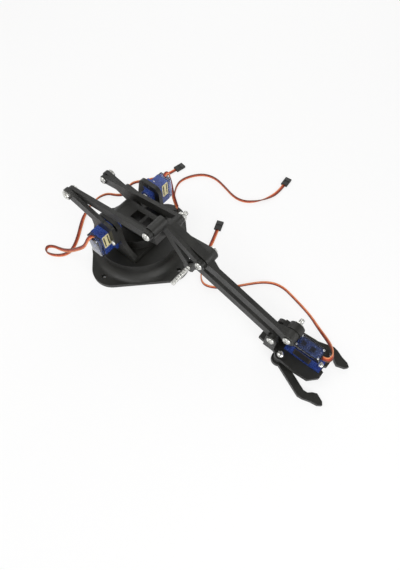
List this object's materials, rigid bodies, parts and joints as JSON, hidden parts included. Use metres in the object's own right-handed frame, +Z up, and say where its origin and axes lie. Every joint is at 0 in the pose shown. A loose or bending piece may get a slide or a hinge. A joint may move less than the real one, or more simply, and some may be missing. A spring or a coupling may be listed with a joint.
{
  "type": "robot arm",
  "caption": "Small printed desktop robot arm on a turning base, with servo driven parallel linkages that keep its geared finger gripper level.",
  "frame": {"origin": "centre of the base's bolt circle, on the base's underside", "axes": "+X along the arm's reach at rest, +Y to the side of the elbow servo, +Z up"},
  "size_m": [0.2923, 0.2282, 0.0913],
  "materials": {
    "print": "satin, printed layers",
    "servo_case": "translucent blue",
    "servo_cover": "translucent pale blue",
    "servo_white": "plain",
    "zinc": "zinc plated",
    "lead": "three wire ribbon",
    "plug": "plain"
  },
  "bodies": {
    "base": {"base": "print", "base_servo_cover": "servo_cover", "base_servo_case": "servo_case", "base_servo_lid": "servo_case", "base_servo_screws": "zinc"},
    "turntable": {"turntable": "print", "base_servo_shaft": "servo_white", "base_servo_horn": "servo_white", "shoulder_servo_cover": "servo_cover", "shoulder_servo_case": "servo_case", "shoulder_servo_lid": "servo_case", "shoulder_servo_screws": "zinc", "elbow_servo_cover": "servo_cover", "elbow_servo_case": "servo_case", "elbow_servo_lid": "servo_case", "elbow_servo_screws": "zinc", "level_bracket": "print", "bracket_screws": "zinc", "level_anchor_bolt": "zinc", "shoulder_lead": "lead", "shoulder_plug": "plug", "elbow_lead": "lead", "elbow_plug": "plug"},
    "main_arm": {"main_arm": "print", "shoulder_servo_shaft": "servo_white", "shoulder_servo_horn": "servo_white", "elbow_bolt": "zinc"},
    "drive_lever": {"drive_lever": "print", "elbow_servo_shaft": "servo_white", "elbow_servo_horn": "servo_white"},
    "lever_bolt": {"lever_bolt": "zinc"},
    "drive_link": {"drive_link": "print"},
    "level_link": {"level_link": "print"},
    "triangle": {"triangle_link": "print", "triangle_bolt": "zinc", "level_rod_bolt": "zinc"},
    "forearm": {"forearm": "print", "forearm_bolt": "zinc"},
    "level_rod": {"level_rod": "print"},
    "claw": {"claw": "print", "wrist_bolt": "zinc", "yoke_bolt": "zinc", "finger_bolts": "zinc", "gripper_servo_cover": "servo_cover", "gripper_servo_case": "servo_case", "gripper_servo_lid": "servo_case", "gripper_servo_screws": "zinc", "gripper_lead": "lead", "gripper_plug": "plug"},
    "pinion": {"pinion": "print", "gripper_servo_shaft": "servo_white"},
    "near_finger": {"near_finger": "print"},
    "far_finger": {"far_finger": "print"}
  },
  "joints": [
    {"name": "yaw", "type": "hinge", "parent": "base", "child": "turntable", "pos_m": [0, 0, 0], "axis": [0, 0, 1], "range_deg": [-90, 90]},
    {"name": "shoulder", "type": "hinge", "parent": "turntable", "child": "main_arm", "pos_m": [-0.002, 0, 0.051], "axis": [0, -1, 0], "range_deg": [0, 60], "deforming": ["gripper_lead", "gripper_plug"]},
    {"name": "level_link_swing", "type": "hinge", "parent": "turntable", "child": "level_link", "pos_m": [-0.0385, 0, 0.0725], "axis": [0, -1, 0], "range_deg": [0, 60]},
    {"name": "triangle_swing", "type": "hinge", "parent": "main_arm", "child": "triangle", "pos_m": [0.08492, 0, 0.06477], "axis": [0, -1, 0], "range_deg": [-60, 0]},
    {"name": "elbow", "type": "hinge", "parent": "turntable", "child": "drive_lever", "pos_m": [-0.002, 0, 0.051], "axis": [0, -1, 0], "range_deg": [-15, 8], "deforming": ["gripper_lead", "gripper_plug"]},
    {"name": "forearm_swing", "type": "hinge", "parent": "triangle", "child": "forearm", "pos_m": [0.08492, 0, 0.06477], "axis": [0, -1, 0], "range_deg": [-15, 8]},
    {"name": "wrist", "type": "hinge", "parent": "forearm", "child": "claw", "pos_m": [0.16789, 0, 0.0386], "axis": [0, -1, 0], "range_deg": [-8, 15]},
    {"name": "level_rod_swing", "type": "hinge", "parent": "triangle", "child": "level_rod", "pos_m": [0.07392, 0, 0.05077], "axis": [0, -1, 0], "range_deg": [-15, 8]},
    {"name": "lever_bolt_turn", "type": "hinge", "parent": "drive_lever", "child": "lever_bolt", "pos_m": [-0.03633, 0, 0.06183], "axis": [0, -1, 0], "range_deg": [-8, 15]},
    {"name": "drive_link_swing", "type": "hinge", "parent": "lever_bolt", "child": "drive_link", "pos_m": [-0.03633, 0, 0.06183], "axis": [0, -1, 0], "range_deg": [0, 60]},
    {"name": "gripper", "type": "hinge", "parent": "claw", "child": "pinion", "pos_m": [0.18919, 0, 0], "axis": [0, 0, -1], "range_deg": [0, 20]},
    {"name": "near_finger_swing", "type": "hinge", "parent": "claw", "child": "near_finger", "pos_m": [0.16841, -0.012, 0], "axis": [0, 0, 1], "range_deg": [0, 20]},
    {"name": "far_finger_swing", "type": "hinge", "parent": "claw", "child": "far_finger", "pos_m": [0.16841, 0.012, 0], "axis": [0, 0, 1], "range_deg": [-20, 0]}
  ],
  "couplings": [
    {"joint": "level_link_swing", "follows": "shoulder", "ratio": 1},
    {"joint": "triangle_swing", "follows": "shoulder", "ratio": -1},
    {"joint": "drive_link_swing", "follows": "shoulder", "ratio": 1},
    {"joint": "forearm_swing", "follows": "elbow", "ratio": 1},
    {"joint": "wrist", "follows": "elbow", "ratio": -1},
    {"joint": "level_rod_swing", "follows": "elbow", "ratio": 1},
    {"joint": "lever_bolt_turn", "follows": "elbow", "ratio": -1},
    {"joint": "near_finger_swing", "follows": "gripper", "ratio": 1},
    {"joint": "far_finger_swing", "follows": "gripper", "ratio": -1}
  ]
}
